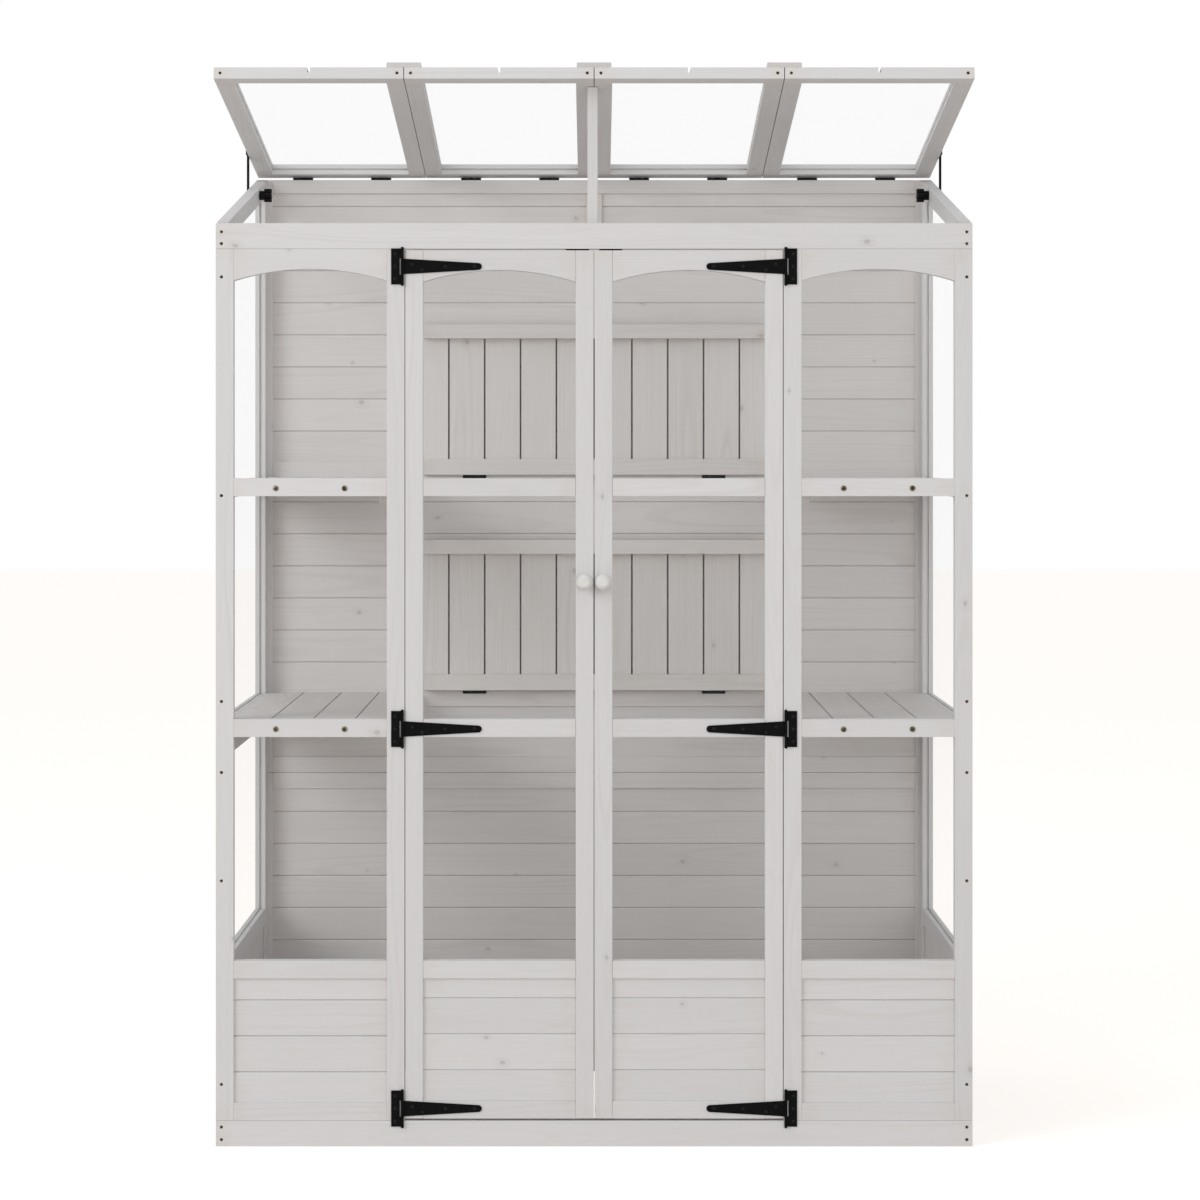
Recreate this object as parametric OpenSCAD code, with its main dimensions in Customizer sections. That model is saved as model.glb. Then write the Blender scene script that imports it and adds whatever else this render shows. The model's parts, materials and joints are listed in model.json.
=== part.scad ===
// A lean-to greenhouse of painted softwood. Two doors hang between two fixed panels,
// the side walls are glazed over a planked base, the back wall is planked all over,
// and a roof of four skylights tips open on the back wall. Fixed shelves stand at both
// sides, and two shelves fold down from the back wall between them.
// X runs to the right, Y to the back and Z up. The modules work with the front face
// at Y = 0, and placed() moves them to the middle of the overall box.

/* [Body] */
// Width over both side walls
body_w = 1450; // [1400:10:1560]
// Depth from the front face to the outside of the back wall
body_d = 740; // [700:10:820]
// Height of the front frame
front_h = 1768.5; // [1740:0.5:1820]
// Height of the two full-width rails of the front
front_rail_h = 49; // [44:1:56]
// Slope of the top of the side walls, in degrees
roof_slope = 11.65; // [9:0.05:14]

/* [Boards] */
// Face width of the frame boards
board_w = 34; // [30:1:38]
// Thickness of the frame boards
board_t = 22; // [20:0.5:26]
// Hairline left where two boards of one frame meet
joint_gap = 0.2; // [0.1:0.05:0.4]
// Thickness of the tongue and groove planks
plank_t = 12; // [10:0.5:14]
// Bevel along the edges of each plank
plank_bevel = 1.6; // [1:0.1:2]
// Pitch of the planks of the front
front_plank_pitch = 69; // [60:1:76]
// Pitch of the planks of the back wall
back_plank_pitch = 69; // [60:1:76]
// Thickness of the clear panes
pane_t = 3; // [2:0.5:4]
// Depth of the grooves that hold panes and planks
groove_d = 7; // [6:0.5:9]

/* [Levels] */
// Height of the top of the planked base
base_h = 355.5; // [330:0.5:370]
// Top of the lower shelves
lower_shelf_z = 815; // [790:0.5:830]
// Top of the upper shelves
upper_shelf_z = 1276.5; // [1250:0.5:1290]
// Height of the lowest panel of the back wall
back_panel_h = 642; // [620:1:660]
// How far the front rails stand above the shelf boards
rail_lip = 3; // [1:0.5:6]

/* [Front] */
// Height of the arched rail at its crown
arch_crown_h = 38; // [32:1:44]
// Rise of the arch
arch_rise = 22.5; // [16:0.5:26]
// Gap at the hinge sides of the doors
door_gap = 1.5; // [1.2:0.1:3]
// Gap between the doors
door_mid_gap = 2.2; // [1.2:0.1:3]
// Gap above the doors
door_top_gap = 3; // [2.5:0.5:5]
// Gap below the doors
door_foot_gap = 4; // [2:0.5:6]

/* [Door fittings] */
// Diameter of a door knob
knob_d = 32; // [26:1:36]
// How far the door knobs stand out
knob_l = 35; // [30:1:40]
// Height of the door knobs
knob_z = 1081.5; // [1000:0.5:1150]
// Length of a strap hinge from its pin
strap_l = 152; // [130:1:170]
// Height of the hinge plate on the post
hinge_plate_h = 69; // [60:1:76]
// Width of the hinge plate from its pin
hinge_plate_w = 21.5; // [18:0.5:24]
// Gap between the hinge plate and the middle knuckle
plate_notch = 2.2; // [1:0.1:3]
// Height of a strap at its root
strap_h = 30.5; // [26:0.5:34]
// Height of a strap at its rounded tip
strap_tip_h = 13; // [9:0.5:15]
// Thickness of the strap hinges
strap_t = 2.2; // [1.5:0.1:3]
// Radius of the hinge barrels
barrel_r = 3; // [2.5:0.1:3.5]
// Distance of the hinge pin from the door's edge
barrel_inset = 5.5; // [5:0.5:8]

/* [Roof] */
// Length of the skylights along the slope
skylight_l = 791; // [780:1:800]
// Gap between neighbouring skylights
skylight_gap = 1.5; // [1:0.1:3]
// Angle by which the roof stands open, in degrees
roof_open = 20.3; // [18:0.1:22]
// How far the hinges hold the back of the closed roof off the walls
roof_lift = 1; // [0.8:0.1:4]
// Width of the strips over the seams
strip_w = 66; // [56:1:72]
// Thickness of the strips over the seams
strip_t = 10; // [8:0.5:14]
// Distance of the roof hinges from the ends of each skylight
roof_hinge_inset = 97; // [80:1:120]
// Width of the roof hinges
roof_hinge_w = 43; // [36:1:50]
// Radius of the knuckles of the roof hinges
roof_knuckle_r = 3; // [2.5:0.1:3.5]

/* [Roof supports] */
// Width and thickness of the middle prop
prop_w = 19.5; // [17:0.5:22]
// How far the prop's foot hangs behind the front rail
prop_lap = 20; // [12:1:30]
// Distance of the stay's pivot from the roof hinge
stay_reach = 177; // [160:1:190]
// Width of the side stays
stay_w = 22; // [20:0.5:26]
// Thickness of the side stays
stay_t = 3; // [2:0.5:4]
// Radius of the clamp bolt
bolt_r = 2.5; // [2:0.1:3]

/* [Shelves] */
// Width of the fixed shelf boards
slat_w = 77; // [70:1:78]
// Gap between the fixed shelf boards
slat_gap = 4; // [3:0.5:7]
// Thickness of all the shelf boards
slat_t = 10; // [8:0.5:12]
// Depth of the battens under the fixed shelves
batten_t = 18; // [15:0.5:22]
// Height of the battens under the fixed shelves
batten_h = 20; // [16:0.5:22]
// Thickness of the battens of the folding shelves
fold_batten_t = 18; // [15:0.5:20]
// Width of the folding shelves
fold_w = 732; // [700:2:740]
// Length of the folding shelves from hinge side to free edge
fold_l = 322; // [300:2:340]
// Width of the boards next to the middle of a folding shelf
fold_mid_w = 77.8; // [72:0.2:80]
// Width of the other boards of a folding shelf
fold_slat_w = 73.7; // [68:0.1:75]
// Gap between the boards of a folding shelf
fold_gap = 3.2; // [2.5:0.1:6]

/* [Hidden] */
$fn = 48;
eps = 0.01;
wall_x = body_w / 2;
bay_w = body_w / 4;
door_h0 = front_rail_h + door_foot_gap;
door_h1 = front_h - front_rail_h - door_top_gap;
opening_top = front_h - front_rail_h;
panel_seam = 0.4;
panel_h0 = front_rail_h + panel_seam;
panel_h1 = opening_top - panel_seam;
door_in = door_mid_gap / 2;
door_out = bay_w - door_gap / 2;
back_y = body_d - board_t;
seat_gap = 0.3;
back_h = front_h + back_y * tan(roof_slope) - seat_gap;
wall_y0 = board_t;
wall_y1 = back_y;
pane_slot = pane_t + 0.4;
plank_slot = plank_t + 0.4;
groove_play = 1;
plank_seam = 0.3;
tongue_w = 4;
tongue_h = 4.5;
tongue_play = 0.2;
tongue_room = 0.5;
knuckle_play = 0.3;
pin_play = 0.08;
bore_play = 0.1;
leaf_t = 1;

// Hinge line of the roof, halfway between the back wall and the closed roof
pin_back = 2;
roof_pin_r = 1.2;
roof_leaf_l = 14;
roof_leaf_t = 1.5;
roof_pin_y = body_d + pin_back;
roof_rise = roof_pin_y * tan(roof_slope) + roof_lift;
roof_shut = atan(roof_rise / roof_pin_y);
roof_pin_z = (back_h + front_h + seat_gap + roof_rise) / 2;
roof_under = (front_h + seat_gap + roof_rise - roof_pin_z) * cos(roof_shut);
roof_rest = roof_shut - roof_open;
skylight_w = bay_w;

// Hinge line of the doors
door_pin_x = door_out + barrel_inset;
door_pin_y = -barrel_r - 0.4;
low_hinge_up = 72.5;
mid_hinge_drop = 15.5;
high_hinge_drop = 83;
door_hinge_z = [low_hinge_up, lower_shelf_z - mid_hinge_drop, front_h - high_hinge_drop];

// Side stays and their clamp bolts
stay_mid = roof_under + board_t / 2;
stay_arc = norm([stay_reach, stay_mid]);
stay_top_y = roof_pin_y - stay_reach * cos(roof_rest) - stay_mid * sin(roof_rest);
stay_top_z = roof_pin_z - stay_reach * sin(roof_rest) + stay_mid * cos(roof_rest);
stay_sway = (stay_top_y - (roof_pin_y - stay_arc)) / 2;
bolt_y = stay_top_y - stay_sway;
bolt_up = 2;
bolt_z = front_h + bolt_y * tan(roof_slope) - board_w / 2 / cos(roof_slope) + bolt_up;
stay_shut_z = roof_pin_z - stay_reach * sin(roof_shut) + stay_mid * cos(roof_shut);
stay_slot_r = bolt_r + stay_sway + 0.4;
stay_drop = stay_top_z - bolt_z;
stay_shut_drop = stay_shut_z - bolt_z;
stay_x = wall_x + 0.6;
stay_washer = 0.4;

// Middle prop. The bar ends behind the front rail when the roof is shut, and leans back just
// enough to hang behind that rail when the roof stands open. Its hinge lies behind the bar
prop_x = -3;
prop_play = 0.4;
prop_knuckle_r = 2.2;
prop_pin_r = 1;
prop_back = prop_knuckle_r + 0.4;
prop_under = 2.4;
prop_room = 0.8;
prop_hinge_w = prop_w - 2.5;
prop_pin_v = roof_under - prop_under;
prop_front = prop_w + prop_back;
prop_leaf_l = 22;
prop_end = (roof_pin_y - board_t - prop_play - roof_under * sin(roof_shut)) / cos(roof_shut);
prop_reach = prop_end - prop_front;
prop_pin_y = roof_pin_y - prop_reach * cos(roof_rest) - prop_pin_v * sin(roof_rest);
prop_pin_z = roof_pin_z - prop_reach * sin(roof_rest) + prop_pin_v * cos(roof_rest);
prop_lean = atan((board_t + prop_play + prop_front - prop_pin_y) / (prop_pin_z - front_h));
prop_l = prop_pin_z - front_h + prop_lap;

// Hinge lines of the folding shelves
fold_leaf_play = 1;
fold_pin_y = back_y - 2 * leaf_t - fold_leaf_play;
fold_lift = 6;
fold_knuckle_r = 2.8;
fold_pin_r = 1.2;
fold_batten_w = 30;
fold_hinge_w = 50;
fold_hinge_x = 257;
fold_leaf_l = 28;

// Overall box, which the origin is centred in
reach_front = roof_pin_y - skylight_l * cos(roof_rest) - roof_under * sin(roof_rest);
reach_back = roof_pin_y - (roof_under + board_t + strip_t) * sin(roof_rest);
mid_y = (reach_front + reach_back) / 2;

// Colours
paint = [0.86, 0.855, 0.84];
shade_paint = [0.80, 0.795, 0.78];
iron = [0.08, 0.08, 0.085];
clear = [0.85, 0.9, 0.92, 0.35];
zinc = [0.7, 0.66, 0.55];

// Helpers: a box between two corners, and moves between frames
module slab(low, high) {
    translate(low) cube(high - low);
}

module placed() {
    translate([0, -mid_y, 0]) children();
}

module on_roof() {
    translate([0, roof_pin_y, roof_pin_z]) rotate([roof_rest, 0, 0]) children();
}

module mirrored(side) {
    if (side < 0) mirror([1, 0, 0]) children();
    else children();
}

module along_x(length) {
    rotate([90, 0, 90]) linear_extrude(length) children();
}

module bar_x(r, length) {
    rotate([0, 90, 0]) cylinder(r = r, h = length, center = true);
}

module bar_y(r, length) {
    rotate([-90, 0, 0]) cylinder(r = r, h = length, center = true);
}

// One tongue and groove plank: thickness along the first axis, width along the second
module plank_outline(pitch) {
    half = plank_t / 2;
    face = half - plank_bevel;
    top = pitch - plank_seam;
    slot = tongue_w / 2 + tongue_play;
    polygon([
        [-half, plank_bevel], [-half, top - plank_bevel], [-face, top],
        [-tongue_w / 2, top], [-tongue_w / 2, top + tongue_h],
        [tongue_w / 2, top + tongue_h], [tongue_w / 2, top], [face, top],
        [half, top - plank_bevel], [half, plank_bevel], [face, 0], [slot, 0],
        [slot, tongue_h + tongue_room], [-slot, tongue_h + tongue_room], [-slot, 0], [-face, 0]
    ]);
}

// A run of planks between two levels, with one seam at the level named seam. A first or
// last plank that would be a sliver is left out
plank_sliver = 0.07;

module plank_run(low, high, seam, pitch) {
    first = floor((low - seam) / pitch + plank_sliver);
    last = ceil((high - seam) / pitch - plank_sliver) - 1;
    for (n = [first : last]) intersection() {
        translate([0, seam + n * pitch]) plank_outline(pitch);
        translate([-plank_t, low]) square([2 * plank_t, high - low]);
    }
}

module level_planks(x0, x1, z0, z1, y, seam, pitch) {
    translate([x0, y, 0]) along_x(x1 - x0) plank_run(z0, z1, seam, pitch);
}

// Front panels and doors
function rail_low(z) = z + rail_lip - board_w;
function front_rail_zs() = [base_h - board_w, rail_low(lower_shelf_z), rail_low(upper_shelf_z)];

module arch_rail(x0, x1, top) {
    half = (x1 - x0) / 2;
    arch_r = (half * half + arch_rise * arch_rise) / (2 * arch_rise);
    crown = top - arch_crown_h;
    difference() {
        slab([x0, 0, crown - arch_rise], [x1, board_t, top]);
        translate([(x0 + x1) / 2, -1, crown - arch_r]) rotate([-90, 0, 0])
            cylinder(r = arch_r, h = board_t + 2, $fn = 160);
        slab([x0 - 1, (board_t - pane_slot) / 2, crown - arch_rise - 1],
            [x1 + 1, (board_t + pane_slot) / 2, crown + groove_d]);
    }
}

module groove_x(x0, x1, z0, z1, slot) {
    slab([x0, (board_t - slot) / 2, z0], [x1, (board_t + slot) / 2, z1]);
}

module panel_stile(x0, z0, z1, inner) {
    edge = inner > 0 ? x0 + board_w - groove_d : x0 - 1;
    base_z = base_h - board_w / 2;
    top_z = z1 - arch_crown_h + groove_d;
    difference() {
        slab([x0, 0, z0], [x0 + board_w, board_t, z1]);
        groove_x(edge, edge + groove_d + 1, base_z, top_z, pane_slot);
        groove_x(edge, edge + groove_d + 1, z0 + board_w / 2, base_z, plank_slot);
    }
}

module panel_rail(x0, x1, z, under_slot, over_slot) {
    difference() {
        slab([x0, 0, z], [x1, board_t, z + board_w]);
        if (under_slot > 0) groove_x(x0 - 1, x1 + 1, z - 1, z + groove_d, under_slot);
        if (over_slot > 0)
            groove_x(x0 - 1, x1 + 1, z + board_w - groove_d, z + board_w + 1, over_slot);
    }
}

module panel_frame(x0, x1, z0, z1) {
    in0 = x0 + board_w + joint_gap;
    in1 = x1 - board_w - joint_gap;
    zs = front_rail_zs();
    panel_stile(x0, z0, z1, 1);
    panel_stile(x1 - board_w, z0, z1, -1);
    arch_rail(in0, in1, z1);
    panel_rail(in0, in1, zs[2], pane_slot, pane_slot);
    panel_rail(in0, in1, zs[1], pane_slot, pane_slot);
    panel_rail(in0, in1, zs[0], plank_slot, pane_slot);
    panel_rail(in0, in1, z0, 0, plank_slot);
}

module panel_planks(x0, x1, z0, seam) {
    tuck = groove_d - groove_play;
    level_planks(x0 + board_w - tuck, x1 - board_w + tuck, z0 + board_w - tuck,
        base_h - board_w + tuck, board_t / 2, seam, front_plank_pitch);
}

module panel_panes(x0, x1, z1) {
    tuck = groove_d - groove_play;
    zs = front_rail_zs();
    tops = [zs[1], zs[2], z1 - arch_crown_h];
    for (n = [0 : 2])
        slab([x0 + board_w - tuck, (board_t - pane_t) / 2, zs[n] + board_w - tuck],
            [x1 - board_w + tuck, (board_t + pane_t) / 2, tops[n] + tuck]);
}

// Screws of the front posts, left and right
post_screw_x = wall_x - board_t / 2;
foot_screw_up = 69.5;
base_screw_up = 153;
shelf_screw_down = 99;
shelf_screw_up = 37;
upper_screw_down = 30;
top_screw_down = 54;
post_screw_zs = [
    front_rail_h + foot_screw_up, base_h + base_screw_up, lower_shelf_z - shelf_screw_down,
    lower_shelf_z + shelf_screw_up, upper_shelf_z - upper_screw_down, opening_top - top_screw_down
];
rail_screw_zs = [
    front_rail_h * 0.26, front_rail_h * 0.75, front_h - front_rail_h * 0.8,
    front_h - front_rail_h * 0.34
];
post_screw_r = 2.4;
screw_sink = 0.6;
screw_len = 16;

module post_bores(zs) {
    for (side = [-1, 1], z = zs) translate([side * post_screw_x, 0, z])
        bar_y(post_screw_r + bore_play, 2 * (screw_len + screw_sink));
}

module frame_screws() {
    color(iron) for (side = [-1, 1], z = concat(post_screw_zs, rail_screw_zs))
        translate([side * post_screw_x, screw_sink, z]) rotate([-90, 0, 0]) difference() {
            cylinder(r = post_screw_r, h = screw_len);
            translate([0, 0, -1]) cylinder(r = drive_r, h = 2, $fn = 6);
        }
}

// Screws that hold the fixed shelves through the front rails
shelf_screw_inset = 115;
shelf_screw_step = 132;
shelf_screw_xs = [wall_x - shelf_screw_inset, wall_x - shelf_screw_inset - shelf_screw_step];
shelf_screw_drop = slat_t + 6;
shelf_screw_zs = [lower_shelf_z - shelf_screw_drop, upper_shelf_z - shelf_screw_drop];
shelf_screw_r = 2.2;
shelf_screw_l = board_t + 12;
shelf_head_r = 4.8;
cross_l = 5.6;
cross_w = 1;

module shelf_bores() {
    for (side = [-1, 1], x = shelf_screw_xs, z = shelf_screw_zs) translate([side * x, 0, z])
        bar_y(shelf_screw_r + bore_play, 2 * shelf_screw_l + 1);
}

module shelf_screws() {
    color(zinc) for (side = [-1, 1], x = shelf_screw_xs, z = shelf_screw_zs)
        translate([side * x, 0, z]) rotate([-90, 0, 0]) difference() {
            union() {
                translate([0, 0, -1]) cylinder(r = shelf_head_r, h = 1);
                translate([0, 0, -2]) cylinder(r = shelf_head_r - 0.8, h = 1);
                cylinder(r = shelf_screw_r, h = shelf_screw_l);
            }
            for (turn = [45, 135]) rotate(turn)
                slab([-cross_l / 2, -cross_w / 2, -2.1], [cross_l / 2, cross_w / 2, -0.8]);
        }
}

module front_rails() {
    color(paint) difference() {
        union() {
            slab([-wall_x, 0, 0], [wall_x, board_t, front_rail_h]);
            slab([-wall_x, 0, opening_top], [wall_x, board_t, front_h]);
        }
        post_bores(rail_screw_zs);
    }
}

module fixed_panel_frame(side) {
    color(paint) difference() {
        mirrored(side) panel_frame(bay_w + door_gap / 2, wall_x, panel_h0, panel_h1);
        post_bores(post_screw_zs);
        shelf_bores();
    }
}

front_seam = 141.2;

module fixed_panel_planks(side) {
    color(paint) mirrored(side)
        panel_planks(bay_w + door_gap / 2, wall_x, panel_h0, front_seam);
}

module front_panes() {
    color(clear) for (side = [-1, 1]) mirrored(side)
        panel_panes(bay_w + door_gap / 2, wall_x, panel_h1);
}

module door_frame(side) {
    color(paint) mirrored(side) panel_frame(door_in, door_out, door_h0, door_h1);
}

module door_planks(side) {
    color(paint) mirrored(side)
        panel_planks(door_in, door_out, door_h0, front_seam + door_foot_gap);
}

module door_panes(side) {
    color(clear) mirrored(side) panel_panes(door_in, door_out, door_h1);
}

// Knobs, catches and strikes of the doors
knob_x = door_in + board_w / 2;
knob_flat = 0.88;
knob_foot = 0.55;
knob_neck = 0.4;
knob_foot_l = 3;

module door_knob(side) {
    r = knob_d / 2;
    color(paint) translate([side * knob_x, 0, knob_z]) rotate([90, 0, 0]) {
        cylinder(r = r * knob_foot, h = knob_foot_l);
        cylinder(r = r * knob_neck, h = knob_l - r);
        translate([0, 0, knob_l - r * knob_flat]) intersection() {
            sphere(r = r);
            cylinder(r = r, h = 2 * r * knob_flat, center = true);
        }
    }
}

// Magnetic catch: a plate in the gap over the door, and a magnet behind the door, which
// stays clear of the middle prop
catch_w = 44;
catch_x = 32;
magnet_w = 36;
magnet_shift = 3;
catch_t = 2.2;
catch_front = 6;
catch_back = board_t + 16;
magnet_h = 17;
strike_w = 28;
strike_t = 1;

module door_catches() {
    top = opening_top - catch_t;
    magnet_y = board_t + strike_t + seat_gap;
    from = catch_x + magnet_shift - magnet_w / 2;
    color(iron) for (side = [-1, 1]) mirrored(side) {
        slab([catch_x - catch_w / 2, catch_front, top], [catch_x + catch_w / 2, board_t, opening_top]);
        slab([from, board_t - eps, top], [from + magnet_w, catch_back, opening_top]);
        slab([from, magnet_y, top - magnet_h], [from + magnet_w, catch_back, top - joint_gap]);
    }
}

module strike(side) {
    x = side * catch_x;
    color(zinc) slab([x - strike_w / 2, board_t, door_h1 - magnet_h],
        [x + strike_w / 2, board_t + strike_t, door_h1 - 1]);
}

// Strap hinges: the plate on the post carries the pin, the strap lies on the door
door_pin_r = 1.5;
head_r = 3;
head_t = 0.7;
plate_screws = [[-14, -24], [-14, 0], [-14, 24]];
strap_screws = [[19, 4], [38, -6.5], [82, 0], [138, 0.5]];
strap_step = 0.3;

module screw_heads(spots) {
    for (p = spots) translate([p[0], -door_pin_y - strap_t - head_t / 2 + eps, p[1]])
        bar_y(head_r, head_t);
}

module hinge_plate() {
    half = strap_h / 2 + knuckle_play;
    difference() {
        union() {
            cylinder(r = barrel_r, h = hinge_plate_h, center = true);
            slab([-hinge_plate_w, -door_pin_y - strap_t, -hinge_plate_h / 2],
                [0, -door_pin_y, hinge_plate_h / 2]);
        }
        slab([-barrel_r - plate_notch, -2 * barrel_r, -half], [2 * barrel_r, 2 * barrel_r, half]);
    }
    cylinder(r = door_pin_r, h = hinge_plate_h, center = true);
    for (z = [-1, 1]) translate([0, 0, z * hinge_plate_h / 2]) sphere(r = barrel_r);
    screw_heads(plate_screws);
}

module strap_outline() {
    tip = strap_l - strap_tip_h / 2;
    root = strap_h / 2 - strap_step;
    translate([tip, 0]) circle(r = strap_tip_h / 2);
    polygon([[0, -root], [tip, -strap_tip_h / 2], [tip, strap_tip_h / 2], [0, root]]);
}

module strap() {
    difference() {
        union() {
            cylinder(r = barrel_r, h = strap_h, center = true);
            translate([0, -door_pin_y, 0]) rotate([90, 0, 0])
                linear_extrude(strap_t) strap_outline();
        }
        cylinder(r = door_pin_r + pin_play, h = strap_h + 2, center = true);
    }
    screw_heads(strap_screws);
}

module door_hinge_plates() {
    color(iron) for (side = [-1, 1], z = door_hinge_z) mirrored(-side)
        translate([-door_pin_x, door_pin_y, z]) hinge_plate();
}

module door_straps(side) {
    color(iron) for (z = door_hinge_z) mirrored(-side)
        translate([-door_pin_x, door_pin_y, z]) strap();
}

// Side walls
function slope_z(y) = front_h + y * tan(roof_slope);
rail_drop = board_w / cos(roof_slope);
stile_front = wall_y0 + board_w;
stile_back = wall_y1 - board_w;
wall_in = wall_x - board_t;

module across_wall(side, thick) {
    from = side < 0 ? -wall_in - (board_t + thick) / 2 : wall_in + (board_t - thick) / 2;
    translate([from, 0, 0]) along_x(thick) children();
}

module wall_grooves(side) {
    tuck = groove_d;
    base_z = base_h - board_w / 2;
    across_wall(side, pane_slot) polygon([
        [stile_front - tuck, base_z], [stile_back + tuck, base_z],
        [stile_back + tuck, slope_z(stile_back + tuck) - rail_drop + tuck],
        [stile_front - tuck, slope_z(stile_front - tuck) - rail_drop + tuck]
    ]);
}

module wall_rail(side, low, high, slot_low, slot_high) {
    y0 = stile_front + joint_gap;
    y1 = stile_back - joint_gap;
    difference() {
        across_wall(side, board_t) polygon([[y0, low], [y1, low], [y1, high], [y0, high]]);
        if (slot_low > 0) across_wall(side, slot_low)
            translate([y0 - 1, low - 1]) square([y1 - y0 + 2, groove_d + 1]);
        if (slot_high > 0) across_wall(side, slot_high)
            translate([y0 - 1, high - groove_d]) square([y1 - y0 + 2, groove_d + 1]);
    }
}

module wall_stiles(side) {
    difference() {
        across_wall(side, board_t) polygon([
            [wall_y0, 0], [stile_front, 0],
            [stile_front, slope_z(stile_front) - rail_drop - joint_gap],
            [wall_y0, slope_z(wall_y0) - rail_drop - joint_gap]
        ]);
        wall_grooves(side);
        base_groove(side);
    }
    difference() {
        across_wall(side, board_t) polygon([
            [stile_back, 0], [wall_y1, 0], [wall_y1, slope_z(wall_y1) - joint_gap],
            [stile_back, slope_z(stile_back) - joint_gap]
        ]);
        wall_grooves(side);
        base_groove(side);
    }
}

module base_groove(side) {
    across_wall(side, plank_slot) polygon([
        [stile_front - groove_d, board_w / 2], [stile_back + groove_d, board_w / 2],
        [stile_back + groove_d, base_h - board_w / 2], [stile_front - groove_d, base_h - board_w / 2]
    ]);
}

module sloped_rail(side) {
    y1 = stile_back - joint_gap;
    difference() {
        across_wall(side, board_t) polygon([
            [wall_y0, slope_z(wall_y0) - rail_drop], [y1, slope_z(y1) - rail_drop],
            [y1, slope_z(y1) - joint_gap], [wall_y0, slope_z(wall_y0) - joint_gap]
        ]);
        wall_grooves(side);
        translate([side * (wall_in + board_t / 2), bolt_y, bolt_z])
            bar_x(bolt_r + bore_play, board_t + 2);
    }
}

// The left wall has a second rail under the one of its lower shelf
second_rail_z = lower_shelf_z - 2 * board_w - joint_gap;

module wall_frame(side) {
    color(paint) {
        wall_stiles(side);
        sloped_rail(side);
        wall_rail(side, upper_shelf_z - board_w, upper_shelf_z, pane_slot, pane_slot);
        wall_rail(side, lower_shelf_z - board_w, lower_shelf_z, pane_slot, pane_slot);
        if (side < 0) wall_rail(side, second_rail_z, second_rail_z + board_w, pane_slot, 0);
        wall_rail(side, base_h - board_w, base_h, plank_slot, pane_slot);
        wall_rail(side, 0, board_w, 0, plank_slot);
    }
}

wall_seam_in = 30;

module wall_planks(side) {
    tuck = groove_d - groove_play;
    low = board_w - tuck;
    high = base_h - board_w + tuck;
    color(paint) translate([side * (wall_in + board_t / 2), 0, low]) linear_extrude(high - low)
        plank_run(stile_front - tuck, stile_back + tuck, stile_front + wall_seam_in,
            front_plank_pitch);
}

module wall_pane(side, low, high0, high1) {
    tuck = groove_d - groove_play;
    across_wall(side, pane_t) polygon([
        [stile_front - tuck, low - tuck], [stile_back + tuck, low - tuck],
        [stile_back + tuck, high1 + tuck], [stile_front - tuck, high0 + tuck]
    ]);
}

module side_panes() {
    top = rail_drop + 0.5;
    color(clear) for (side = [-1, 1]) {
        under = side < 0 ? second_rail_z : lower_shelf_z - board_w;
        wall_pane(side, base_h, under, under);
        wall_pane(side, lower_shelf_z, upper_shelf_z - board_w, upper_shelf_z - board_w);
        wall_pane(side, upper_shelf_z, slope_z(stile_front - groove_d) - top,
            slope_z(stile_back + groove_d) - top);
    }
}

// Back wall: three framed panels, each with a middle stile and two bays of planks. The
// middle panel has one more rail, which carries the hinges of the lower folding shelf
stack_gap = 0.5;
middle_z = back_panel_h + stack_gap;
upper_z = upper_shelf_z + stack_gap;
hinge_rail_up = 3.5;
hinge_rail_z = lower_shelf_z + hinge_rail_up - board_w;
top_rail_h = 29;
lower_seam_up = 6;
middle_seam_up = 30;
upper_seam_up = 30.5;

// between holds the undersides of the rails between the lowest and the highest one
module back_frame(z0, z1, top_h, between) {
    lows = concat([z0], between);
    highs = concat(between, [z1 - top_h]);
    side_x = wall_x - board_w;
    color(shade_paint) translate([0, back_y, 0]) difference() {
        union() {
            for (z = lows) slab([joint_gap - side_x, 0, z],
                [side_x - joint_gap, board_t, z + board_w]);
            slab([joint_gap - side_x, 0, z1 - top_h], [side_x - joint_gap, board_t, z1]);
            for (side = [-1, 1]) mirrored(side) slab([side_x, 0, z0], [wall_x, board_t, z1]);
            for (n = [0 : len(lows) - 1])
                slab([-board_w / 2, 0, lows[n] + board_w + joint_gap],
                    [board_w / 2, board_t, highs[n] - joint_gap]);
        }
        for (side = [-1, 1], n = [0 : len(lows) - 1]) mirrored(side)
            slab([board_w / 2 - groove_d, (board_t - plank_slot) / 2,
                    lows[n] + board_w - groove_d],
                [side_x + groove_d, (board_t + plank_slot) / 2, highs[n] + groove_d]);
    }
}

module back_planks(z0, z1, top_h, between, seam) {
    tuck = groove_d - groove_play;
    lows = concat([z0], between);
    highs = concat(between, [z1 - top_h]);
    color(shade_paint) for (side = [-1, 1], n = [0 : len(lows) - 1]) mirrored(side)
        level_planks(board_w / 2 - tuck, wall_x - board_w + tuck, lows[n] + board_w - tuck,
            highs[n] + tuck, back_y + board_t / 2, z0 + seam, back_plank_pitch);
}

module lower_back(planks) {
    if (planks) back_planks(0, back_panel_h, board_w, [], lower_seam_up);
    else back_frame(0, back_panel_h, board_w, []);
}

module middle_back(planks) {
    if (planks) back_planks(middle_z, upper_shelf_z, board_w, [hinge_rail_z], middle_seam_up);
    else back_frame(middle_z, upper_shelf_z, board_w, [hinge_rail_z]);
}

module upper_back(planks) {
    if (planks) back_planks(upper_z, back_h, top_rail_h, [], upper_seam_up);
    else back_frame(upper_z, back_h, top_rail_h, []);
}

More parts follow.
